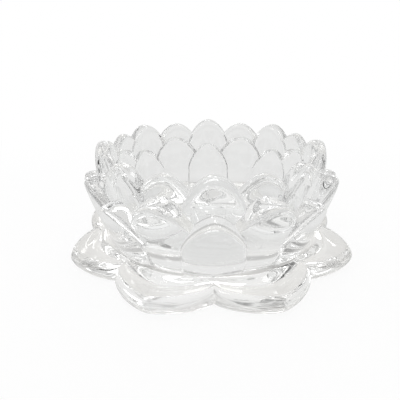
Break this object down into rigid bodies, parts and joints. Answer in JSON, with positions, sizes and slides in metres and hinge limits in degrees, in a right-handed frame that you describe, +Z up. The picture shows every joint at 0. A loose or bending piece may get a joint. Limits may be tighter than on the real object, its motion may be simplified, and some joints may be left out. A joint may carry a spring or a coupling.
{
  "type": "lotus tealight holder",
  "caption": "Clear glass lotus-flower tealight holder: a round bowl with a lobed rim, wrapped in overlapping tiers of rounded petals, standing on a wider ring of dished base petals.",
  "frame": {"origin": "centre of the foot, on the surface that the holder stands on", "axes": "+Z up through the bowl's axis, -Y through the middle of the front lower petal"},
  "size_m": [0.1108, 0.1108, 0.045],
  "materials": {
    "bowl_glass": "clear colourless pressed glass, fire polished",
    "petal_glass": "clear colourless pressed glass, fire polished",
    "base_glass": "clear colourless pressed glass with faint flow marks"
  },
  "bodies": {
    "root": {"bowl": "bowl_glass", "upper_petal_1": "petal_glass", "upper_petal_2": "petal_glass", "upper_petal_3": "petal_glass", "upper_petal_4": "petal_glass", "upper_petal_5": "petal_glass", "upper_petal_6": "petal_glass", "upper_petal_7": "petal_glass", "upper_petal_8": "petal_glass", "lower_petal_1": "petal_glass", "lower_petal_2": "petal_glass", "lower_petal_3": "petal_glass", "lower_petal_4": "petal_glass", "lower_petal_5": "petal_glass", "lower_petal_6": "petal_glass", "lower_petal_7": "petal_glass", "lower_petal_8": "petal_glass", "middle_petal_1": "petal_glass", "middle_petal_2": "petal_glass", "middle_petal_3": "petal_glass", "middle_petal_4": "petal_glass", "middle_petal_5": "petal_glass", "middle_petal_6": "petal_glass", "middle_petal_7": "petal_glass", "middle_petal_8": "petal_glass", "base_petal_1": "base_glass", "base_petal_2": "base_glass", "base_petal_3": "base_glass", "base_petal_4": "base_glass", "base_petal_5": "base_glass", "base_petal_6": "base_glass", "base_petal_7": "base_glass", "base_petal_8": "base_glass"}
  },
  "joints": []
}
